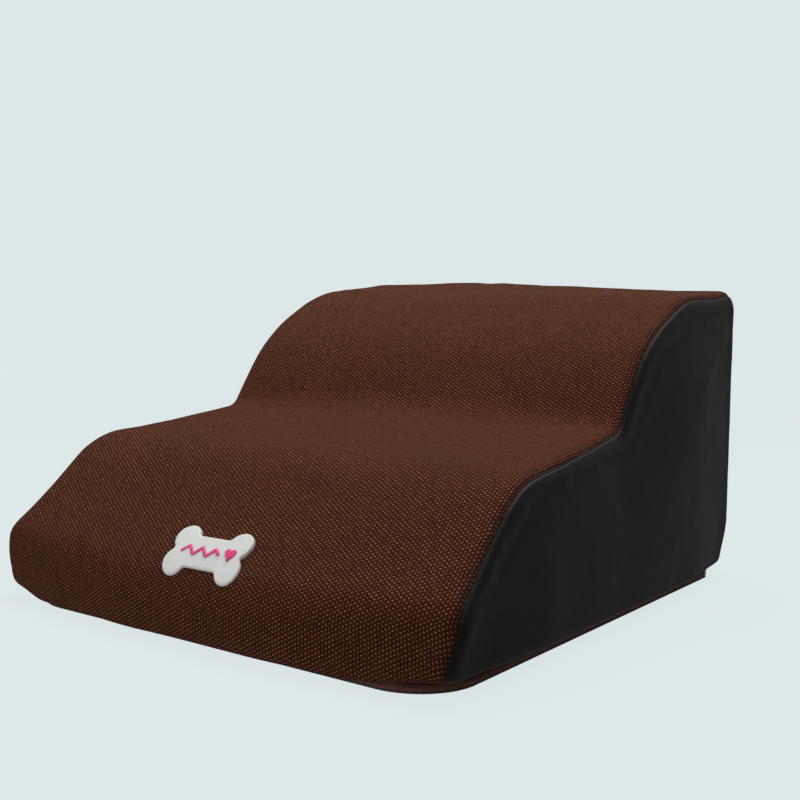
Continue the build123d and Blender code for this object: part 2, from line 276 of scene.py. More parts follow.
def curl(lip, plump=0.0):
    """The lower wall's section: (a, z) with a 0 at the wall and 1 at the zip, from JOIN_Z down.
    plump pushes the section outward before it turns in under the foot."""
    end = 9.9
    lip = np.asarray(lip, float)[..., None]
    f = np.asarray(plump, float)[..., None] + np.zeros_like(lip)
    t = np.linspace(0, 1, N_LOW // 2 + 1)

    def bez(p0, p1, p2, p3, t):
        return p0 * (1 - t) ** 3 + 3 * p1 * t * (1 - t) ** 2 + 3 * p2 * t * t * (1 - t) + p3 * t**3

    o = np.zeros_like(lip)
    a1 = bez(o, o - 0.04 - 0.04 * f, o + 0.10 - 0.16 * f, o + 0.50 - 0.12 * f, t)
    z1 = bez(o + JOIN_Z, o + 0.62 * JOIN_Z, lip, lip, t)
    a2 = bez(o + 0.50 - 0.12 * f, o + 0.82, o + 1.0, o + 1.0, t)
    z2 = bez(lip, lip, lip + 0.45 * (end - lip), o + end, t)
    a = np.concatenate([a1, a2[..., 1:]], -1)
    z = np.concatenate([z1, z2[..., 1:]], -1)
    return a, z


def lip_front(x):
    x = np.asarray(x, float)
    return 3.2 + np.where(x > 0, 4.6 * smooth(88, 146, x), 4.4 * smooth(120, 146, -x))


def plump_front(x):
    return smooth(92, 144, -np.asarray(x, float))


def plump_side(y, right):
    return 0 * y if right else 1 - smooth(-164, -154, y)


def lip_side(y, right):
    if right:
        return 7.8 - 0.6 * smooth(-164, -60, y) + 1.6 * smooth(100, 172, y)
    return 7.6 + 2.4 * smooth(-164.6, -154, y)


def lip_back(x):
    return 9.4 + 0 * np.asarray(x, float)


# ---------------------------------------------------------------- mesh building
def grid_faces(rows, cols, flip=False, start=0):
    i = np.arange(rows - 1)[:, None] * cols + np.arange(cols - 1)[None, :] + start
    q = np.stack([i, i + 1, i + cols + 1, i + cols], -1).reshape(-1, 4)
    return q[:, ::-1] if flip else q


def make(name, verts, faces, uv=None, uv_name="cloth"):
    """A mesh object from millimetre vertices, with an optional UV in metres per vertex."""
    me = bpy.data.meshes.new(name)
    verts = np.asarray(verts, float) * MM
    if isinstance(faces, np.ndarray):
        faces = faces.tolist()
    me.from_pydata(verts.tolist(), [], faces)
    me.polygons.foreach_set("use_smooth", [True] * len(me.polygons))
    if uv is not None:
        layer = me.uv_layers.new(name=uv_name)
        idx = np.empty(len(me.loops), int)
        me.loops.foreach_get("vertex_index", idx)
        layer.data.foreach_set("uv", (np.asarray(uv, float) * MM)[idx].ravel())
    me.validate()
    me.update()
    ob = bpy.data.objects.new(name, me)
    bpy.context.scene.collection.objects.link(ob)
    return ob


# columns of the top panel, from the left seam to the right one
_edge = np.array([0, 0.35, 0.8, 1.4, 2.1, 2.9, 3.8, 4.8, 5.8, 7.0, 8.6, 10.6, 13.0])
SEAM_X0 = 144.0
_half = np.concatenate([SEAM_X0 - _edge, np.linspace(SEAM_X0 - 16, 0, 44)])
W = np.concatenate([-_half, _half[::-1][1:]])     # nominal x, -144..144
CROWN_P = 3.4


def seam_x(y):
    return side_x(y) - SEAM_IN


def top_panel_grid():
    cols = []
    nominal = SEAM_X0
    for x in W:
        u = abs(x) / nominal
        e = nominal - abs(x)
        g = 1 - u**CROWN_P
        gf = 1 - u**2.2
        p = path(top_corners(x * 146.0 / nominal, g, gf), COUNTS, float(roll(e)))[: I_RAY + 1]
        cols.append(p)
    P = np.array(cols)                     # (cols, rows, 2)
    P = P.transpose(1, 0, 2)               # (rows, cols, 2)
    y, z = P[..., 0], P[..., 1]
    # x: the seam follows the crowned side; inner columns keep their share
    sx = seam_x(np.clip(y[:, -1], -172, 172.6))[:, None]
    e = (nominal - np.abs(W))[None, :]
    x = np.sign(W)[None, :] * np.maximum(sx - e - (sx - nominal) * smooth(0, 60, e), 0)
    # lower front
    lip = lip_front(W)
    a, zl = curl(lip, plump_front(W))      # (cols, N_LOW+1)
    x0, y0 = x[0], y[0]
    tx, ty = front_target(W * 146.0 / nominal)
    lx = x0[None, :] + (tx - x0)[None, :] * a.T
    ly = y0[None, :] + (ty - y0)[None, :] * a.T
    lz = zl.T
    X = np.concatenate([lx[::-1][:-1], x])
    Y = np.concatenate([ly[::-1][:-1], y])
    Z = np.concatenate([lz[::-1][:-1], z])
    hold = np.concatenate([(1 - smooth(0.25, 1.0, a.T))[::-1][:-1], np.ones_like(z)])
    return X, Y, Z, hold


X, Y, Z, HOLD = top_panel_grid()
ROWS, COLS = X.shape
ROW0 = N_LOW                                # row of JOIN_Z
mid = COLS // 2
seg = np.hypot(np.diff(Y[:, mid]), np.diff(Z[:, mid]))
V = np.concatenate([[0], np.cumsum(seg)])
V = V - V[ROW0]
e_seam = SEAM_X0 - np.abs(W)
inner = smooth(0, 26, e_seam)[None, :]
rows_in = (smooth(-40, 6, V) * (1 - smooth(V[-1] - 26, V[-1], V)))[:, None]

DIP = 1.05                # depth of the sewn groove


def seam_out(y, z):
    """Outward direction at a seam point of the profile, as (side, y, z) parts."""
    d = np.stack([np.gradient(y), np.gradient(z)], -1)
    d /= np.linalg.norm(d, axis=-1, keepdims=True) + 1e-9
    return np.stack([np.full(len(y), 0.7071), -d[:, 1] * 0.7071, d[:, 0] * 0.7071], -1)


def normals(X, Y, Z):
    P = np.stack([X, Y, Z], -1)
    du = np.gradient(P, axis=1)
    dv = np.gradient(P, axis=0)
    n = np.cross(du, dv)
    return n / (np.linalg.norm(n, axis=-1, keepdims=True) + 1e-12)


# slow undulation of the cloth over the foam, and small puckers along the seams
Nrm = normals(X, Y, Z)
und = 0.55 * fbm(X / 46.0 + 3, np.broadcast_to(V[:, None], X.shape) / 38.0, 1.0, 2)
und = und + 0.35 * noise(X / 17.0, V[:, None] / 60.0, 5.0) * (1 - inner * 0.6)
puck = 0.30 * noise(np.sign(X) * 20 + 0 * X, V[:, None] / 6.5, 2.0) * np.exp(-e_seam / 7.0)[None, :]
wave = 0.9 * noise(X / 52.0, 0.0, 9.0) * smooth(V[-1] - 70, V[-1] - 25, V)[:, None]
amp = smooth(0.0, 6.0, e_seam)[None, :]
disp = (und * rows_in + wave * rows_in) * inner + puck * rows_in * amp
XYZ = np.stack([X, Y, Z], -1) + Nrm * disp[..., None]
# the sewn edges turn down into their groove
_so = seam_out(Y[:, -1], Z[:, -1])
_dir = np.stack([np.sign(X) * _so[:, None, 0], _so[:, None, 1] + 0 * X, _so[:, None, 2] + 0 * X], -1)
_e = np.exp(-((e_seam / 0.85) ** 2))[None, :] * smooth(9, 16, Z[:, -1])[:, None]
_b = np.exp(-(((V[-1] - V) / 1.1) ** 2))[:, None] * np.ones_like(X)
XYZ = XYZ - _dir * (DIP * _e)[..., None] - np.array([0, 0.669, 0.743]) * (DIP * _b * (1 - _e))[..., None]
XYZ = relax(XYZ, HOLD)
U = np.broadcast_to(W[None, :] * 1.0, X.shape)
_sl = np.linalg.norm(np.diff(XYZ, axis=0), axis=-1)
VV = np.concatenate([np.zeros((1, COLS)), np.cumsum(_sl, 0)])
VV = VV - VV[ROW0 + 22]                              # level across the front edge of the step
_su = np.linalg.norm(np.diff(XYZ, axis=1), axis=-1)
UU = np.concatenate([np.zeros((ROWS, 1)), np.cumsum(_su, 1)], 1)
UU = UU - UU[:, mid:mid + 1]
top_uv = np.stack([UU, VV], -1)
top_panel = make("woven_top_panel", XYZ.reshape(-1, 3), grid_faces(ROWS, COLS, flip=False), top_uv.reshape(-1, 2))


# side panels: upright columns under the seam's own points
def seam_dist(y, z, line):
    a, b = line[:-1], line[1:]
    ab = b - a
    P = np.stack([y, z], -1)[..., None, :]
    t = np.clip(((P - a) * ab).sum(-1) / np.maximum((ab**2).sum(-1), 1e-9), 0, 1)
    q = a + t[..., None] * ab
    d2 = ((P - q) ** 2).sum(-1)
    return np.sqrt(d2.min(-1)), d2.argmin(-1)


seam_all = seam_path(SEAM_IN)               # (y, z) from the front at JOIN_Z over the top and down the back
SEAM_YZ = seam_all


def side_grid(right):
    top = seam_all[I_KNEE: I_BACK_END + 1]
    # the part over the top panel has the seam's exact points
    yc, zt = top[:, 0], top[:, 1]
    rows = 74
    k = np.linspace(0, 1, rows)
    g = (np.exp(2.7 * k) - 1) / (math.exp(2.7) - 1)
    Zg = JOIN_Z + (zt - JOIN_Z)[None, :] * (1 - g[:, None])
    Yg = np.broadcast_to(yc[None, :], Zg.shape).copy()
    d, near = seam_dist(Yg, Zg, SEAM_YZ)
    base = side_x(Yg)
    full = smooth(12, 75, d)
    x = base - roll(d)
    # puffed rim inside the seam, a crease, then the panel's own gentle bulge
    rim_on = smooth(34, 64, Zg) * (1 - smooth(120, 165, Yg) * (Zg < 150))
    # the rim comes and goes along the seam
    live = 0.55 + 0.45 * noise(Yg / 42.0 + 2, Zg / 42.0, 4.0)
    rim = (0.38 * np.exp(-(((d - 6.4) / 3.4) ** 2)) - 0.42 * np.exp(-(((d - 13.0) / 4.6) ** 2))) * (0.35 + 0.8 * live)
    x = x + rim * rim_on + 3.4 * full
    sd = 17.0 if right else 41.0
    x = x + 0.7 * fbm(Yg / 60.0 + sd, Zg / 50.0, 3.0, 2) * smooth(6, 40, d)
    x = x + 0.22 * noise(Yg / 7.5 + sd, Zg / 7.5, 8.0) * np.exp(-((d - 8) / 6) ** 2)
    # lower part
    lip = lip_side(yc, right)
    a, zl = curl(lip, plump_side(yc, right))
    x0, y0 = x[-1], Yg[-1]
    tx, ty = side_target(yc)
    lx = x0[None, :] + (tx - x0)[None, :] * a.T
    ly = y0[None, :] + (ty - y0)[None, :] * a.T
    # slope continuity with the bulge above the join
    o = seam_out(SEAM_YZ[:, 0], SEAM_YZ[:, 1])[near]
    dip = DIP * np.exp(-((d / 0.85) ** 2)) * smooth(9, 16, Zg)
    x, Yd, Zd = x - o[..., 0] * dip, Yg - o[..., 1] * dip, Zg - o[..., 2] * dip
    X_ = np.concatenate([x, lx[1:]])
    Y_ = np.concatenate([Yd, ly[1:]])
    Z_ = np.concatenate([Zd, zl.T[1:]])
    hold = np.concatenate([np.ones_like(x), (1 - smooth(0.25, 1.0, a.T))[1:]])
    sg = 1 if right else -1
    R_ = relax(np.stack([sg * X_, Y_, Z_], -1), hold)
    return sg * R_[..., 0], R_[..., 1], R_[..., 2]


def side_panel(name, right):
    X_, Y_, Z_ = side_grid(right)
    uv = np.stack([Y_, Z_], -1)
    Xs = X_ if right else -X_
    return make(name, np.stack([Xs, Y_, Z_], -1).reshape(-1, 3), grid_faces(*X_.shape, flip=right), uv.reshape(-1, 2))


right_side = side_panel("black_side_right", True)
left_side = side_panel("black_side_left", False)


# back panel
def back_grid():
    cols = []
    nominal = SEAM_X0
    for x in W:
        e = nominal - abs(x)
        g = 1 - (abs(x) / nominal) ** CROWN_P
        p = path(top_corners(x * 146.0 / nominal, g, 1 - (abs(x) / nominal) ** 2.2), COUNTS, float(roll(e)))[I_RAY:]
        cols.append(p)
    P = np.array(cols).transpose(1, 0, 2)
    y, z = P[..., 0].copy(), P[..., 1]
    sx = seam_x(np.clip(y[:, -1], -172, 172.6))[:, None]
    e = (nominal - np.abs(W))[None, :]
    x = np.sign(W)[None, :] * np.maximum(sx - e - (sx - nominal) * smooth(0, 60, e), 0)
    d = np.minimum(e + 0 * z, np.maximum(TOP - 4 - z, 0))
    y = y + 2.6 * smooth(8, 70, d) + 0.5 * fbm(x / 60.0 + 7, z / 50.0, 6.0, 2) * smooth(6, 40, d)
    so = seam_out(y[:, -1], z[:, -1])
    dr = np.stack([np.sign(x) * so[:, None, 0], so[:, None, 1] + 0 * x, so[:, None, 2] + 0 * x], -1)
    ee = np.exp(-((e / 0.85) ** 2)) * smooth(9, 16, z)
    run = np.concatenate([[0], np.cumsum(np.hypot(np.diff(y[:, mid]), np.diff(z[:, mid])))])
    bb = np.exp(-((run / 1.1) ** 2))[:, None] * (1 - ee)
    x, y, z = (v - DIP * (dr[..., k] * ee + (0, 0.669, 0.743)[k] * bb) for k, v in enumerate((x, y, z)))
    lip = lip_back(W)
    a, zl = curl(lip)
    tx, ty = back_target(W * 144.7 / nominal)
    x0, y0 = x[-1], y[-1]
    lx = x0[None, :] + (tx - x0)[None, :] * a.T
    ly = y0[None, :] + (ty - y0)[None, :] * a.T
    R_ = relax(np.stack([np.concatenate([x, lx[1:]]), np.concatenate([y, ly[1:]]), np.concatenate([z, zl.T[1:]])], -1))
    return R_[..., 0], R_[..., 1], R_[..., 2]


bX, bY, bZ = back_grid()
back_panel = make("black_back_panel", np.stack([bX, bY, bZ], -1).reshape(-1, 3), grid_faces(*bX.shape, flip=False), np.stack([bX, bZ], -1).reshape(-1, 2))


# ------------------------------------------------------------ threads in the seams
def sweep(name, paths, ref, radius, sides=6, flat=1.0):
    """Separate round strands, one for each path. ref gives a direction across each point."""
    verts, faces, n = [], [], 0
    an = np.arange(sides) * 2 * math.pi / sides
    for p, r in zip(paths, ref):
        t = np.gradient(p, axis=0)
        t /= np.linalg.norm(t, axis=1, keepdims=True) + 1e-12
        r = r - (r * t).sum(1, keepdims=True) * t
        r /= np.linalg.norm(r, axis=1, keepdims=True) + 1e-12
        b = np.cross(t, r)
        k = len(p)
        w = np.ones(k)
        w[0] = w[-1] = 0.55
        ring = p[:, None] + radius * w[:, None, None] * (flat * np.cos(an)[None, :, None] * r[:, None] + np.sin(an)[None, :, None] * b[:, None])
        verts.append(ring.reshape(-1, 3))
        q = np.arange(k - 1)[:, None] * sides + np.arange(sides)[None, :]
        j = np.arange(k - 1)[:, None] * sides + (np.arange(sides)[None, :] + 1) % sides
        faces.extend((np.stack([q, q + sides, j + sides, j], -1).reshape(-1, 4) + n).tolist())
        faces.append((np.arange(sides) + n).tolist())
        faces.append((np.arange(sides)[::-1] + n + (k - 1) * sides).tolist())
        n += k * sides
    return make(name, np.concatenate(verts), faces)


def stitches(line, out, length, gap, lift, sink):
    """Cuts a line into stitches that dive into the cloth at both ends."""
    s = np.concatenate([[0], np.cumsum(np.linalg.norm(np.diff(line, axis=0), axis=1))])
    paths, refs = [], []
    a = 0.3
    while a + length < s[-1]:
        q = a + np.linspace(0, 1, 6) * length
        p = np.stack([np.interp(q, s, line[:, k]) for k in range(3)], 1)
        o = np.stack([np.interp(q, s, out[:, k]) for k in range(3)], 1)
        o /= np.linalg.norm(o, axis=1, keepdims=True)
        h = lift - sink * (2 * np.linspace(0, 1, 6) - 1) ** 4
        paths.append(p + o * h[:, None])
        refs.append(o)
        a += length + gap
    return paths, refs


_sy, _sz = seam_all[:, 0], seam_all[:, 1]
_out = seam_out(_sy, _sz)
_keep = (_sz > 13)
threads = {}
for side, nm in ((1, "right"), (-1, "left")):
    line = relax(np.stack([side * seam_x(np.clip(_sy, -172.66, 172.66)), _sy, _sz], 1)[_keep])
    out = (_out * np.array([side, 1, 1]))[_keep]
    pth, rf = stitches(line, out, 2.7, 0.9, -0.62, 0.55)
    threads[nm] = sweep("seam_stitches_" + nm, pth, rf, 0.24)
thread_right, thread_left = threads["right"], threads["left"]
_bs = relax(np.stack([X[-1], Y[-1], Z[-1]], 1)[2:-2])
pth, rf = stitches(_bs, np.broadcast_to(np.array([0, 0.669, 0.743]), _bs.shape), 2.7, 0.9, -0.62, 0.55)
thread_back = sweep("seam_stitches_back", pth, rf, 0.24)

# ------------------------------------------------------------------ zip round the foot
RUN = [146.0 - (RING_FRONT + RING_RF), RING_RF * math.pi / 2, 2 * (RING_X - RING_RF), RING_RF * math.pi / 2, 146.0 - (RING_FRONT + RING_RF)]


def ring_at(s, off):
    """Points and outward directions along the zip, from the left closed end round the front."""
    s, off = np.broadcast_arrays(np.asarray(s, float), np.asarray(off, float))
    c = np.cumsum([0] + RUN)
    x, y, nx, ny = (np.zeros_like(s) for _ in range(4))
    cy, cx = RING_FRONT + RING_RF, RING_X - RING_RF
    m = s <= c[1]
    x[m], y[m], nx[m], ny[m] = -RING_X, 146 - s[m], -1, 0
    m = (s > c[1]) & (s <= c[2])
    a = (s[m] - c[1]) / RING_RF
    nx[m], ny[m] = -np.cos(a), -np.sin(a)
    x[m], y[m] = -cx + RING_RF * nx[m], cy + RING_RF * ny[m]
    m = (s > c[2]) & (s <= c[3])
    x[m], y[m], nx[m], ny[m] = -cx + s[m] - c[2], RING_FRONT, 0, -1
    m = (s > c[3]) & (s <= c[4])
    a = (s[m] - c[3]) / RING_RF
    nx[m], ny[m] = np.sin(a), -np.cos(a)
    x[m], y[m] = cx + RING_RF * nx[m], cy + RING_RF * ny[m]
    m = s > c[4]
    x[m], y[m], nx[m], ny[m] = RING_X, cy + s[m] - c[4], 1, 0
    return x + nx * off, y + ny * off, nx, ny


TOTAL = sum(RUN)
PITCH = 1.25


def coil(name, zc, shift, up):
    """One row of nylon coil: a flattened helix along the tape, its heads at the parting line."""
    per = 12
    s = np.arange(int(TOTAL / PITCH - 1) * per + 1) * PITCH / per + 0.6
    ph = 2 * math.pi * (s / PITCH + shift)
    sgn = lambda v, p: np.sign(v) * np.abs(v) ** p
    off = 0.80 + 0.52 * sgn(np.cos(ph), 0.7)
    z = zc + up * 0.74 * sgn(np.sin(ph), 0.8)
    x, y, nx, ny = ring_at(s, off)
    p = np.stack([x, y, z], 1)
    out = np.stack([nx * np.cos(ph), ny * np.cos(ph), up * np.sin(ph)], 1)
    return sweep(name, [p], [out], 0.24, 6)


coil_upper = coil("zip_coil_upper", 7.12, 0.0, 1)
coil_lower = coil("zip_coil_lower", 4.68, 0.5, -1)

_s = np.linspace(0.5, TOTAL - 0.5, 1400)
pth, rf = [], []
for z in (9.80, 2.15):
    x, y, nx, ny = ring_at(_s, 0.0)
    p_, r_ = stitches(np.stack([x, y, 0 * x + z], 1), np.stack([nx, ny, 0 * nx], 1), 2.6, 0.9, 0.10, 0.22)
    pth += p_
    rf += r_
zip_stitches = sweep("zip_stitches", pth, rf, 0.20)


# ----------------------------------------------------------------- base cloth with dots
def ring_poly(inset, n=14):
    pts = []
    for cx, cy, r, a0 in (
        (RING_X - RING_RF, RING_FRONT + RING_RF, RING_RF, -90),
        (RING_X - RING_RB, RING_BACK - RING_RB, RING_RB, 0),
        (-RING_X + RING_RB, RING_BACK - RING_RB, RING_RB, 90),
        (-RING_X + RING_RF, RING_FRONT + RING_RF, RING_RF, 180),
    ):
        for k in range(n + 1):
            a = math.radians(a0 + 90 * k / n)
            pts.append((cx + (r - inset) * math.cos(a), cy + (r - inset) * math.sin(a)))
    return np.array(pts)


def base_cloth():
    levels = [(1.4, 1.80), (0.30, 1.80), (0.05, 1.62), (0.0, 1.35), (0.05, 1.08), (0.30, 0.90), (1.4, 0.90)]
    rings = [np.column_stack([ring_poly(i), np.full(60, z)]) for i, z in levels]
    n = 60
    v = list(np.concatenate(rings))
    f = []
    for k in range(len(levels) - 1):
        for i in range(n):
            j = (i + 1) % n
            f.append((k * n + i, (k + 1) * n + i, (k + 1) * n + j, k * n + j))
    f.append(tuple(range(n)))
    f.append(tuple((len(levels) - 1) * n + i for i in range(n))[::-1])
    # soft dots underneath, in staggered rows
    base = len(v)
    prof = [(1.75, 0.95), (1.70, 0.50), (1.35, 0.16), (0.75, 0.0)]
    m = 10
    an = np.arange(m) * 2 * math.pi / m
    r0 = ring_poly(6.0)
    cnt = 0
    for row in range(60):
        y = -158 + row * 6.06
        if y > 161:
            break
        for col in range(60):
            x = -135 + col * 7.0 + (3.5 if row % 2 else 0)
            if x > 135:
                break
            # inside the rounded outline
            dx = max(abs(x) - (RING_X - RING_RF - 6), 0)
            dy = max((RING_FRONT + RING_RF + 6) - y, 0) if y < 0 else 0
            if dx > 0 and dy > 0 and math.hypot(dx, dy) > RING_RF - 8:
                continue
            for r, z in prof:
                v.extend(np.column_stack([x + r * np.cos(an), y + r * np.sin(an), np.full(m, z)]))
            b = base + cnt * m * len(prof)
            for k in range(len(prof) - 1):
                for i in range(m):
                    j = (i + 1) % m
                    f.append((b + k * m + i, b + (k + 1) * m + i, b + (k + 1) * m + j, b + k * m + j))
            f.append(tuple(b + (len(prof) - 1) * m + i for i in range(m))[::-1])
            f.append(tuple(b + i for i in range(m)))
            cnt += 1
    return make("base_cloth", np.array(v), f)


base_cloth_ob = base_cloth()

# --------------------------------------------------------------------- bone badge
BADGE_X, BADGE_S, LOBE, BW, BH, SHAFT = 5.0, 16.6, 7.6, 52.0, 29.0, 9.0
_th = math.atan(SLOPE)
B_O = np.array([BADGE_X, FRONT + BADGE_S * math.cos(_th), SLOPE_Z + BADGE_S * math.sin(_th)])
B_X, B_U, B_N = np.array([1.0, 0, 0]), np.array([0, math.cos(_th), math.sin(_th)]), np.array([0, -math.sin(_th), math.cos(_th)])
_rel = XYZ.reshape(-1, 3) - B_O
_a, _b2, _h = _rel @ B_X, _rel @ B_U, _rel @ B_N
_m = (np.abs(_a) < 30) & (np.abs(_b2) < 22) & (_h > -6)
_fit = lambda a, b: np.stack([np.ones_like(a), a, b, a * a, a * b, b * b], -1)
_c, *_ = np.linalg.lstsq(_fit(_a[_m], _b2[_m]), _h[_m], rcond=None)


def on_cloth(p):
    """Badge coordinates (across, up, out) to the frame, laid on the cloth."""
    p = np.asarray(p, float)
    h = _fit(p[:, 0], p[:, 1]) @ _c
    return B_O + p[:, :1] * B_X + p[:, 1:2] * B_U + (p[:, 2] + h)[:, None] * B_N


def bone_outline():
    """Outline of the bone: four lobes on a thick shaft, every inner corner softened."""
    lx, ly, r, sh = BW / 2 - LOBE, BH / 2 - LOBE, LOBE, SHAFT
    q = []
    rf = 2.2                                             # between shaft edge and lobe
    fy = sh + rf
    fx = lx - math.sqrt((r + rf) ** 2 - (fy - ly) ** 2)
    q += [(t, sh) for t in np.linspace(0, fx, 7)[:-1]]
    a1 = math.degrees(math.atan2(ly - fy, lx - fx))
    q += [(fx + rf * math.cos(math.radians(a)), fy + rf * math.sin(math.radians(a))) for a in np.linspace(-90, a1, 6)[:-1]]
    rn = 1.6                                             # between the two lobes of one end
    nx = lx + math.sqrt((r + rn) ** 2 - ly**2)
    a2 = math.degrees(math.atan2(-ly, nx - lx))
    q += [(lx + r * math.cos(math.radians(a)), ly + r * math.sin(math.radians(a))) for a in np.linspace(180 + a1, a2, 30)[:-1]]
    q += [(nx + rn * math.cos(math.radians(a)), rn * math.sin(math.radians(a))) for a in np.linspace(180 + a2, 180, 5)]
    q = np.array(q)
    half = np.concatenate([q, q[::-1][1:] * [1, -1]])
    full = np.concatenate([half, half[::-1][1:-1] * [-1, 1]])
    area = 0.5 * np.sum(full[:, 0] * np.roll(full[:, 1], -1) - full[:, 1] * np.roll(full[:, 0], -1))
    return full if area > 0 else full[::-1]


def plaque(name, poly, levels, cap_rise=0.0):
    """A closed plate from an outline: levels of (inset, height), the last one capped."""
    n = len(poly)
    t = np.roll(poly, -1, 0) - np.roll(poly, 1, 0)
    t /= np.linalg.norm(t, axis=1, keepdims=True)
    inw = np.stack([-t[:, 1], t[:, 0]], 1)
    rings = [np.column_stack([poly + inw * i, np.full(n, h)]) for i, h in levels]
    v = on_cloth(np.concatenate(rings))
    f = []
    for k in range(len(levels) - 1):
        for i in range(n):
            j = (i + 1) % n
            f.append((k * n + i, k * n + j, (k + 1) * n + j, (k + 1) * n + i))
    f.append(tuple((len(levels) - 1) * n + i for i in range(n)))
    f.append(tuple(range(n))[::-1])
    return make(name, v, f)


BONE = bone_outline()
badge = plaque("bone_badge_rubber", BONE, [(0.25, -0.9), (0.0, -0.2), (0.0, 1.0), (0.10, 1.35), (0.32, 1.62), (0.66, 1.80), (1.10, 1.88), (1.5, 1.90)])

WAVE = np.array([(-17.0, -1.6), (-12.5, 2.4), (-8.0, -2.4), (-3.5, 2.4), (1.0, -2.4), (5.5, 2.4), (9.0, -0.6)])
_t = np.linspace(0, len(WAVE) - 1, 73)
_wx = np.interp(_t, np.arange(len(WAVE)), WAVE[:, 0])
_wy = np.interp(_t, np.arange(len(WAVE)), WAVE[:, 1])
for _ in range(3):                                   # soften the turns
    _wy[1:-1] = 0.25 * _wy[:-2] + 0.5 * _wy[1:-1] + 0.25 * _wy[2:]
_wl = on_cloth(np.column_stack([_wx, _wy, np.full(len(_wx), 1.95)]))
motif_wave = sweep("badge_wave", [_wl], [np.broadcast_to(B_N, _wl.shape)], 0.95, 10, 0.45)
_ht = np.linspace(0, 2 * math.pi, 41)[:-1]
HEART = np.column_stack([16 * np.sin(_ht) ** 3, 13 * np.cos(_ht) - 5 * np.cos(2 * _ht) - 2 * np.cos(3 * _ht) - np.cos(4 * _ht)]) * 0.235 + [16.0, 1.0]
HEART = HEART[::-1]
motif_heart = plaque("badge_heart", HEART, [(0, 1.7), (0, 2.10), (0.12, 2.26), (0.32, 2.34)])

# ------------------------------------------------------------------ sponge core
def sponge_core():
    cols = []
    xs = np.concatenate([[-1, -0.994, -0.975, -0.94], np.linspace(-0.88, 0.88, 34), [0.94, 0.975, 0.994, 1]]) * (SEAM_X0 - 0.8)
    for x in xs:
        u = min(abs(x) / SEAM_X0, 1)
        e = SEAM_X0 - 0.8 - abs(x)
        p = path(top_corners(x * 146.0 / SEAM_X0, 1 - u**CROWN_P, 1 - u**2.2), COUNTS, float(roll(e)) + 2.8)
        dx = max(abs(x) - (RING_X - RING_RF), 0)
        yf = RING_FRONT + RING_RF - math.sqrt(max(RING_RF**2 - dx**2, 0)) + 3.2 if dx else RING_FRONT + 3.2
        dxb = max(abs(x) - (RING_X - RING_RB), 0)
        yb = RING_BACK - RING_RB + math.sqrt(max(RING_RB**2 - dxb**2, 0)) - 3.2 if dxb else RING_BACK - 3.2
        low = [(yb, 12.5), (yb, 2.0)] + [(t, 2.0) for t in np.linspace(yb, yf, 18)[1:-1]] + [(yf, 2.0), (yf, 12.5)]
        loop = np.concatenate([p, np.array(low)])
        lim = side_x(np.clip(loop[:, 0], -170, 170)) - SEAM_IN - 0.8
        lim = np.where(loop[:, 1] < 13, np.minimum(lim, RING_X - 3.2), lim)
        cols.append(np.column_stack([np.sign(x) * np.minimum(abs(x) + 0 * lim, lim) if abs(x) > 100 else np.full(len(loop), x), loop]))
    G = relax(np.array(cols))
    keep = RING_X - 4.6 + 9.0 * smooth(12.5, 24.0, G[..., 2])
    G[..., 0] = np.clip(G[..., 0], -keep, keep)
    n, m = G.shape[:2]
    f = []
    for c in range(n - 1):
        for r in range(m):
            q = (r + 1) % m
            f.append((c * m + r, (c + 1) * m + r, (c + 1) * m + q, c * m + q))
    f.append(tuple(range(m))[::1])
    f.append(tuple((n - 1) * m + k for k in range(m))[::-1])
    return make("sponge_block", G.reshape(-1, 3), f)


sponge = sponge_core()

# thickness of the cover's cloth
for o, th in ((top_panel, 1.3), (right_side, 0.9), (left_side, 0.9), (back_panel, 0.9)):
    md = o.modifiers.new("thickness", "SOLIDIFY")
    md.thickness = th * MM
    md.offset = -1.0
    md.use_even_offset = False

# --------------------------------------------------------------- materials
def new_mat(name):
    m = bpy.data.materials.new(name)
    m.use_nodes = True
    nt = m.node_tree
    for n in list(nt.nodes):
        nt.nodes.remove(n)
    out = nt.nodes.new("ShaderNodeOutputMaterial")
    b = nt.nodes.new("ShaderNodeBsdfPrincipled")
    nt.links.new(b.outputs[0], out.inputs[0])
    return m, nt, b


def srgb(r, g, b):
    f = lambda c: (c / 255 / 12.92) if c / 255 <= 0.04045 else ((c / 255 + 0.055) / 1.055) ** 2.4
    return (f(r), f(g), f(b), 1.0)


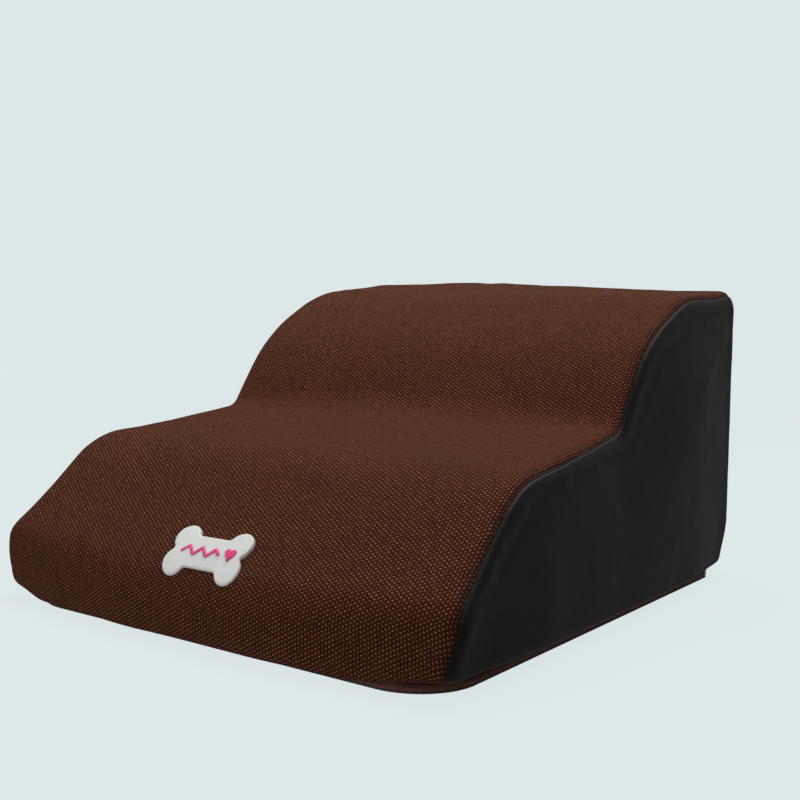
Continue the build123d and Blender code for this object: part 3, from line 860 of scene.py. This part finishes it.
class Net:
    """Small helpers for wiring node trees."""

    def __init__(self, nt):
        self.nt = nt

    def node(self, kind, **kw):
        n = self.nt.nodes.new(kind)
        for k, v in kw.items():
            setattr(n, k, v)
        return n

    def link(self, a, b):
        self.nt.links.new(a, b)

    def put(self, sock, v):
        if hasattr(v, "is_output") or isinstance(v, bpy.types.NodeSocket):
            self.nt.links.new(v, sock)
        else:
            sock.default_value = v

    def math(self, op, a, b=None, c=None, clamp=False):
        n = self.node("ShaderNodeMath", operation=op, use_clamp=clamp)
        self.put(n.inputs[0], a)
        if b is not None:
            self.put(n.inputs[1], b)
        if c is not None:
            self.put(n.inputs[2], c)
        return n.outputs[0]

    def noise(self, vec, scale, detail=2.0, rough=0.5, dim="3D"):
        n = self.node("ShaderNodeTexNoise", noise_dimensions=dim)
        self.put(n.inputs["Vector"], vec)
        n.inputs["Scale"].default_value = scale
        n.inputs["Detail"].default_value = detail
        n.inputs["Roughness"].default_value = rough
        return n.outputs["Fac"]

    def ramp(self, fac, stops, interp="LINEAR"):
        n = self.node("ShaderNodeValToRGB")
        n.color_ramp.interpolation = interp
        cr = n.color_ramp
        while len(cr.elements) < len(stops):
            cr.elements.new(0.5)
        for el, (p, c) in zip(cr.elements, stops):
            el.position = p
            el.color = c
        self.put(n.inputs[0], fac)
        return n.outputs[0]

    def mix(self, fac, a, b, blend="MIX"):
        n = self.node("ShaderNodeMix", data_type="RGBA", blend_type=blend)
        self.put(n.inputs[0], fac)
        self.put(n.inputs[6], a)
        self.put(n.inputs[7], b)
        return n.outputs[2]

    def vmath(self, op, a, b=None):
        n = self.node("ShaderNodeVectorMath", operation=op)
        self.put(n.inputs[0], a)
        if b is not None:
            self.put(n.inputs[1], b)
        return n.outputs[0]

    def bump(self, height, strength, distance, normal=None):
        n = self.node("ShaderNodeBump")
        n.inputs["Strength"].default_value = strength
        n.inputs["Distance"].default_value = distance
        self.put(n.inputs["Height"], height)
        if normal is not None:
            self.put(n.inputs["Normal"], normal)
        return n.outputs[0]


def woven_material():
    """Coarse plain weave: thick warp floats in a half-drop lattice over darker weft; the colour follows the relief,
    partly yarn colour and partly painted highlight on the raised floats and painted shade in the gaps.
    """
    m, nt, b = new_mat("woven_brown")
    N = Net(nt)
    uv = N.node("ShaderNodeUVMap", uv_map="cloth").outputs[0]
    # the yarns wander a little
    wob = N.node("ShaderNodeTexNoise", noise_dimensions="2D")
    N.put(wob.inputs["Vector"], uv)
    wob.inputs["Scale"].default_value = 140.0
    wob.inputs["Detail"].default_value = 2.0
    off = N.vmath("SUBTRACT", wob.outputs["Color"], (0.5, 0.5, 0.5))
    sc = N.node("ShaderNodeVectorMath", operation="SCALE")
    N.put(sc.inputs[0], off)
    sc.inputs["Scale"].default_value = 0.0009
    p = N.vmath("ADD", uv, sc.outputs[0])
    sep = N.node("ShaderNodeSeparateXYZ")
    N.put(sep.inputs[0], p)
    A, B = 0.00186, 0.00108
    iu = N.math("MULTIPLY", sep.outputs[0], 1 / A)
    iv = N.math("MULTIPLY", sep.outputs[1], 1 / B)
    cu = N.math("COSINE", N.math("MULTIPLY", iu, math.pi))
    cv = N.math("COSINE", N.math("MULTIPLY", iv, math.pi))
    s = N.math("MULTIPLY", cu, cv)                     # +1 warp on top, -1 weft on top
    # per-float variation
    ru = N.math("FLOOR", N.math("ADD", iu, 0.5))
    rv = N.math("FLOOR", N.math("ADD", iv, 0.5))
    comb = N.node("ShaderNodeCombineXYZ")
    N.put(comb.inputs[0], ru)
    N.put(comb.inputs[1], rv)
    wn = N.node("ShaderNodeTexWhiteNoise", noise_dimensions="2D")
    N.put(wn.inputs["Vector"], comb.outputs[0])
    cell = wn.outputs["Value"]
    warp = N.math("POWER", N.math("MAXIMUM", s, 0.0), 0.62)
    weft = N.math("POWER", N.math("MAXIMUM", N.math("MULTIPLY", s, -1.0), 0.0), 0.7)
    fibre = N.noise(uv, 3800.0, 3.0, 0.65, "2D")
    h = N.math("ADD", N.math("MULTIPLY", warp, N.math("MULTIPLY_ADD", cell, 0.35, 0.75)), N.math("MULTIPLY", weft, 0.48))
    h2 = N.math("ADD", h, N.math("MULTIPLY", N.math("SUBTRACT", fibre, 0.5), 0.35))
    big = N.noise(uv, 22.0, 3.0, 0.55, "2D")
    dark, mid, light = srgb(27, 6, 1), srgb(90, 42, 21), srgb(204, 126, 82)
    # painted highlight and shade: the tone tracks the weave's height, lightest on warp tops, darker on weft, darkest in
    # the gaps; the per-float cell and fibre noise are the yarn's own variation
    yarn_tone_and_painted_shading = N.math("ADD", N.math("MULTIPLY", warp, N.math("MULTIPLY_ADD", cell, 0.26, 0.72)), N.math("MULTIPLY", weft, 0.38))
    yarn_tone_and_painted_shading = N.math("ADD", yarn_tone_and_painted_shading, N.math("MULTIPLY", N.math("SUBTRACT", fibre, 0.5), 0.30))
    col = N.ramp(yarn_tone_and_painted_shading, [(0.06, dark), (0.50, mid), (1.0, light)])
    # slow shade changes over the cloth, and single redder or greyer yarn ends
    col = N.mix(N.math("MULTIPLY", N.math("SUBTRACT", big, 0.38, clamp=True), 0.55), col, srgb(58, 30, 24))
    hue = N.ramp(cell, [(0.0, srgb(255, 240, 236)), (0.5, (1, 1, 1, 1)), (1.0, srgb(246, 251, 255))])
    col = N.mix(1.0, col, hue, "MULTIPLY")
    N.put(b.inputs["Base Color"], col)
    N.put(b.inputs["Normal"], N.bump(h2, 1.0, 0.0008))
    b.inputs["Roughness"].default_value = 0.90
    b.inputs["Specular IOR Level"].default_value = 0.12
    b.inputs["Sheen Weight"].default_value = 0.13
    b.inputs["Sheen Roughness"].default_value = 0.45
    b.inputs["Sheen Tint"].default_value = srgb(214, 160, 128)
    return m


def black_material():
    """Smooth dark leather-look cloth: fine grain, faint mottling, satin face."""
    m, nt, b = new_mat("black_leatherette")
    N = Net(nt)
    co = N.node("ShaderNodeTexCoord").outputs["Object"]
    grain = N.node("ShaderNodeTexVoronoi", feature="DISTANCE_TO_EDGE")
    N.put(grain.inputs["Vector"], co)
    grain.inputs["Scale"].default_value = 1400.0
    fine = N.noise(co, 2600.0, 2.0, 0.6)
    g = N.math("ADD", N.math("MINIMUM", N.math("MULTIPLY", grain.outputs["Distance"], 4.0), 1.0), N.math("MULTIPLY", fine, 0.6))
    slow = N.noise(co, 14.0, 3.0, 0.5)
    med = N.noise(co, 90.0, 3.0, 0.6)
    col = N.ramp(N.math("ADD", N.math("MULTIPLY", slow, 0.7), N.math("MULTIPLY", med, 0.3)), [(0.30, srgb(6, 6, 6)), (0.70, srgb(14, 13, 12))])
    N.put(b.inputs["Base Color"], col)
    N.put(b.inputs["Roughness"], N.math("MULTIPLY_ADD", med, 0.16, 0.50))
    N.put(b.inputs["Normal"], N.bump(g, 0.25, 0.00012, N.bump(slow, 0.25, 0.004)))
    b.inputs["Specular IOR Level"].default_value = 0.19
    b.inputs["Sheen Weight"].default_value = 0.06
    b.inputs["Sheen Roughness"].default_value = 0.5
    return m


def tape_material():
    """Narrow woven tape with fine ribs along it."""
    m, nt, b = new_mat("zip_tape_weave")
    N = Net(nt)
    co = N.node("ShaderNodeTexCoord").outputs["Object"]
    sep = N.node("ShaderNodeSeparateXYZ")
    N.put(sep.inputs[0], co)
    ribs = N.math("SINE", N.math("MULTIPLY", sep.outputs[2], 2 * math.pi / 0.0007))
    cross = N.math("SINE", N.math("MULTIPLY", N.math("ADD", sep.outputs[0], sep.outputs[1]), 2 * math.pi / 0.0009))
    h = N.math("ADD", N.math("MULTIPLY", ribs, 0.5), N.math("MULTIPLY", cross, 0.35))
    n = N.noise(co, 900.0, 2.0)
    col = N.ramp(N.math("MULTIPLY_ADD", h, 0.35, N.math("MULTIPLY", n, 1.0)), [(0.1, srgb(58, 28, 20)), (0.9, srgb(124, 76, 56))])
    N.put(b.inputs["Base Color"], col)
    N.put(b.inputs["Normal"], N.bump(h, 0.5, 0.00012))
    b.inputs["Roughness"].default_value = 0.82
    return m


def simple_material(name, lo, hi, scale, rough, spec, bump=0.2, dist=0.00008, metal=0.0, detail=3.0, coat=0.0, sss=0.0):
    m, nt, b = new_mat(name)
    N = Net(nt)
    co = N.node("ShaderNodeTexCoord").outputs["Object"]
    n = N.noise(co, scale, detail, 0.6)
    fine = N.noise(co, scale * 9, 2.0, 0.6)
    N.put(b.inputs["Base Color"], N.ramp(n, [(0.3, srgb(*lo)), (0.7, srgb(*hi))]))
    N.put(b.inputs["Roughness"], N.math("MULTIPLY_ADD", fine, 0.14, rough - 0.07))
    N.put(b.inputs["Normal"], N.bump(fine, bump, dist))
    b.inputs["Specular IOR Level"].default_value = spec
    b.inputs["Metallic"].default_value = metal
    b.inputs["Coat Weight"].default_value = coat
    if sss:
        b.inputs["Subsurface Weight"].default_value = sss
        b.inputs["Subsurface Scale"].default_value = 0.002
    return m


def thread_material(name, lo, hi):
    """Twisted sewing thread."""
    m, nt, b = new_mat(name)
    N = Net(nt)
    co = N.node("ShaderNodeTexCoord").outputs["Object"]
    sep = N.node("ShaderNodeSeparateXYZ")
    N.put(sep.inputs[0], co)
    tw = N.math("SINE", N.math("MULTIPLY", N.math("ADD", N.math("ADD", sep.outputs[0], sep.outputs[1]), N.math("MULTIPLY", sep.outputs[2], 2.0)), 2 * math.pi / 0.0006))
    n = N.noise(co, 1500.0, 2.0)
    N.put(b.inputs["Base Color"], N.ramp(N.math("MULTIPLY_ADD", tw, 0.25, n), [(0.2, srgb(*lo)), (0.8, srgb(*hi))]))
    N.put(b.inputs["Normal"], N.bump(tw, 0.5, 0.00008))
    b.inputs["Roughness"].default_value = 0.6
    return m


def foam_material():
    """Open-cell sponge, with painted shade in its pores."""
    m, nt, b = new_mat("sponge")
    N = Net(nt)
    co = N.node("ShaderNodeTexCoord").outputs["Object"]
    v = N.node("ShaderNodeTexVoronoi")
    N.put(v.inputs["Vector"], co)
    v.inputs["Scale"].default_value = 900.0
    n = N.noise(co, 60.0, 3.0)
    # painted shade: the pore hollows, low in the bump, are mixed toward a darker tan
    col = N.mix(N.math("MULTIPLY", N.math("SUBTRACT", 0.6, v.outputs["Distance"], clamp=True), 0.6), N.ramp(n, [(0.3, srgb(232, 222, 190)), (0.7, srgb(243, 236, 212))]), srgb(176, 160, 120))
    N.put(b.inputs["Base Color"], col)
    N.put(b.inputs["Normal"], N.bump(v.outputs["Distance"], 0.8, 0.0006))
    b.inputs["Roughness"].default_value = 0.95
    return m


def metal_material():
    """Brushed zip metal, with a painted highlight: lighter on its raised edges."""
    m, nt, b = new_mat("zip_metal")
    N = Net(nt)
    co = N.node("ShaderNodeTexCoord").outputs["Object"]
    mp = N.node("ShaderNodeMapping")
    N.put(mp.inputs["Vector"], co)
    mp.inputs["Scale"].default_value = (1.0, 0.06, 1.0)
    br = N.noise(mp.outputs[0], 5200.0, 3.0, 0.7)
    edge = N.node("ShaderNodeNewGeometry").outputs["Pointiness"]
    # painted highlight: convex edges (high pointiness) blend toward a light grey base colour
    edge_highlight = N.math("MULTIPLY", N.math("SUBTRACT", edge, 0.52, clamp=True), 6.0, clamp=True)
    base = N.ramp(br, [(0.3, srgb(104, 100, 96)), (0.7, srgb(140, 136, 131))])
    N.put(b.inputs["Base Color"], N.mix(edge_highlight, base, srgb(190, 187, 182)))
    N.put(b.inputs["Roughness"], N.math("MULTIPLY_ADD", br, 0.22, 0.24))
    N.put(b.inputs["Normal"], N.bump(br, 0.25, 0.00004))
    b.inputs["Metallic"].default_value = 1.0
    return m


def base_material():
    """Dark non-woven cloth; its dots are softer, slightly shiny rubber."""
    m, nt, b = new_mat("base_cloth")
    N = Net(nt)
    co = N.node("ShaderNodeTexCoord").outputs["Object"]
    sep = N.node("ShaderNodeSeparateXYZ")
    N.put(sep.inputs[0], co)
    low = N.math("LESS_THAN", sep.outputs[2], 0.00085)
    n = N.noise(co, 700.0, 4.0, 0.7)
    cloth = N.ramp(n, [(0.3, srgb(38, 36, 36)), (0.7, srgb(66, 63, 62))])
    N.put(b.inputs["Base Color"], N.mix(low, cloth, srgb(30, 29, 29)))
    N.put(b.inputs["Roughness"], N.math("MULTIPLY_ADD", low, -0.4, 0.9))
    N.put(b.inputs["Normal"], N.bump(n, 0.5, 0.0002))
    return m


M_WOVEN, M_BLACK = woven_material(), black_material()
M_TAPE = tape_material()
M_COIL = simple_material("zip_teeth", (74, 44, 38), (108, 70, 60), 400, 0.38, 0.5)
M_THREAD = thread_material("dark_thread", (22, 12, 10), (60, 38, 32))
M_METAL, M_FOAM, M_BASE = metal_material(), foam_material(), base_material()
M_RUBBER = simple_material("badge_rubber", (226, 229, 225), (233, 235, 232), 120, 0.52, 0.35, 0.12, sss=0.15)
M_PINK = simple_material("badge_pink", (232, 66, 128), (244, 92, 148), 220, 0.45, 0.4, 0.12)

for o in (thread_right, thread_left, thread_back, zip_stitches):
    o.data.materials.append(M_THREAD)
for o in (coil_upper, coil_lower):
    o.data.materials.append(M_COIL)
base_cloth_ob.data.materials.append(M_BASE)
sponge.data.materials.append(M_FOAM)
badge.data.materials.append(M_RUBBER)
motif_wave.data.materials.append(M_PINK)
motif_heart.data.materials.append(M_PINK)

# each new mesh, the CAD nodes it stands in for and hides, and a material name that nothing reads
NEW = [
    (thread_right, ("seam_thread_right",), "thread"),
    (thread_left, ("seam_thread_left",), "thread"),
    (thread_back, ("seam_thread_back",), "thread"),
    (zip_stitches, ("zipper_stitching",), "thread"),
    (coil_upper, ("zipper_coil_upper",), "zip_teeth"),
    (coil_lower, ("zipper_coil_lower",), "zip_teeth"),
    (base_cloth_ob, ("base_panel",), "base_cloth"),
    (badge, ("bone_badge",), "badge_rubber"),
    (motif_wave, ("badge_motif",), "badge_pink"),
    (motif_heart, (), "badge_pink"),
    (sponge, ("foam_core",), "sponge"),
]
for o, nodes_, slot_ in NEW:
    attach(o, "cushion")
    if nodes_:
        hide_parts(*nodes_)


def dress(node, mat):
    o = bpy.data.objects[node]
    if not o.material_slots:
        o.data.materials.append(mat)
    for sl in o.material_slots:
        sl.material = mat


for nd, mt in (
    ("zipper_tape_upper", M_TAPE),
    ("zipper_tape_lower", M_TAPE),
    ("back_gusset_strip", M_BLACK),
    ("zipper_top_stops", M_METAL),
    ("zipper_bottom_stop", M_METAL),
    ("zipper_slider", M_METAL),
    ("zipper_pull", M_METAL),
):
    dress(nd, mt)
top_panel.data.materials.append(M_WOVEN)
for o in (right_side, left_side, back_panel):
    o.data.materials.append(M_BLACK)

for o, node, s in ((top_panel, "top_panel", "woven_brown"), (right_side, "right_side_panel", "black_leatherette"), (left_side, "left_side_panel", "black_leatherette"), (back_panel, "back_panel", "black_leatherette")):
    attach(o, "cushion")
    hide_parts(node)

# ----------------------------------------------------------- floor, light, camera
def plain_backdrop():
    m = bpy.data.materials.new("studio_floor")
    m.use_nodes = True
    nt = m.node_tree
    for n in list(nt.nodes):
        nt.nodes.remove(n)
    out = nt.nodes.new("ShaderNodeOutputMaterial")
    em = nt.nodes.new("ShaderNodeEmission")
    em.inputs["Color"].default_value = srgb(221, 231, 232)
    N = Net(nt)
    far = N.vmath("LENGTH", N.node("ShaderNodeTexCoord").outputs["Object"])
    far = far.node.outputs["Value"]
    ease = N.node("ShaderNodeMapRange", interpolation_type="SMOOTHSTEP")
    N.put(ease.inputs["Value"], far)
    for k, v in (("From Min", 0.5), ("From Max", 4.0), ("To Min", 0.955), ("To Max", 0.988)):
        ease.inputs[k].default_value = v
    N.put(em.inputs["Strength"], ease.outputs["Result"])
    df = nt.nodes.new("ShaderNodeBsdfDiffuse")
    df.inputs["Color"].default_value = (0.050, 0.055, 0.055, 1)
    add = nt.nodes.new("ShaderNodeAddShader")
    nt.links.new(em.outputs[0], add.inputs[0])
    nt.links.new(df.outputs[0], add.inputs[1])
    nt.links.new(add.outputs[0], out.inputs[0])
    me = bpy.data.meshes.new("floor")
    s = 30.0
    me.from_pydata([(-s, -s, 0), (s, -s, 0), (s, s, 0), (-s, s, 0)], [], [(0, 1, 2, 3)])
    me.materials.append(m)
    ob = bpy.data.objects.new("floor", me)
    bpy.context.scene.collection.objects.link(ob)
    ob.visible_diffuse = False
    ob.visible_glossy = False


plain_backdrop()
world = bpy.data.worlds.new("studio") if bpy.context.scene.world is None else bpy.context.scene.world
bpy.context.scene.world = world
world.use_nodes = True
wn = world.node_tree
for n in list(wn.nodes):
    wn.nodes.remove(n)
wo = wn.nodes.new("ShaderNodeOutputWorld")
bg = wn.nodes.new("ShaderNodeBackground")
bg.inputs["Color"].default_value = srgb(221, 231, 232)
bg.inputs["Strength"].default_value = 1.0
dim = wn.nodes.new("ShaderNodeBackground")          # what the object is lit by
dim.inputs["Color"].default_value = (1.0, 0.99, 0.98, 1)
dim.inputs["Strength"].default_value = 0.20
lp = wn.nodes.new("ShaderNodeLightPath")
mx = wn.nodes.new("ShaderNodeMixShader")
wn.links.new(lp.outputs["Is Camera Ray"], mx.inputs[0])
wn.links.new(dim.outputs[0], mx.inputs[1])
wn.links.new(bg.outputs[0], mx.inputs[2])
wn.links.new(mx.outputs[0], wo.inputs[0])


def area(name, loc, target, size, power, color=(1, 1, 1)):
    li = bpy.data.lights.new(name, "AREA")
    li.shape = "RECTANGLE"
    li.size, li.size_y = size
    li.energy = power
    li.color = color
    ob = bpy.data.objects.new(name, li)
    bpy.context.scene.collection.objects.link(ob)
    ob.location = loc
    ob.rotation_euler = (Vector(target) - Vector(loc)).to_track_quat("-Z", "Y").to_euler()
    return ob


area("key_top", (0.0, 0.35, 1.5), (0, 0.02, 0.1), (1.4, 1.1), 20.0)
area("front_soft", (-0.7, -1.7, 0.75), (0, 0, 0.06), (1.3, 1.0), 7.4)
area("front_low", (-0.3, -1.5, 0.16), (0, -0.1, 0.03), (1.2, 0.28), 3.4)
area("right_soft", (1.8, -0.5, 0.9), (0, 0, 0.08), (1.0, 1.2), 1.6)

CAM = dict(pos=(387.9, -532.6, 152.05), yaw=35.94, pitch=3.01, roll=1.01, f=1063.7)
cam = bpy.data.cameras.new("camera")
cam.sensor_width = 36.0
cam.sensor_fit = "HORIZONTAL"
cam.lens = CAM["f"] * 36.0 / 800.0
cam.clip_start, cam.clip_end = 0.02, 200.0
cob = bpy.data.objects.new("camera", cam)
bpy.context.scene.collection.objects.link(cob)
a_, e_, r_ = (math.radians(CAM[k]) for k in ("yaw", "pitch", "roll"))
fwd = Vector((-math.sin(a_) * math.cos(e_), math.cos(a_) * math.cos(e_), -math.sin(e_)))
rt = Vector((math.cos(a_), math.sin(a_), 0.0))
upv = rt.cross(fwd)
r2 = math.cos(r_) * rt + math.sin(r_) * upv
u2 = -math.sin(r_) * rt + math.cos(r_) * upv
from mathutils import Matrix
cob.matrix_world = Matrix(
    (
        (r2.x, u2.x, -fwd.x, CAM["pos"][0] * MM),
        (r2.y, u2.y, -fwd.y, CAM["pos"][1] * MM),
        (r2.z, u2.z, -fwd.z, CAM["pos"][2] * MM),
        (0, 0, 0, 1),
    )
)
bpy.context.scene.camera = cob
bpy.context.scene.view_settings.view_transform = "Standard"
bpy.context.scene.view_settings.look = "None"

bpy.context.view_layer.update()
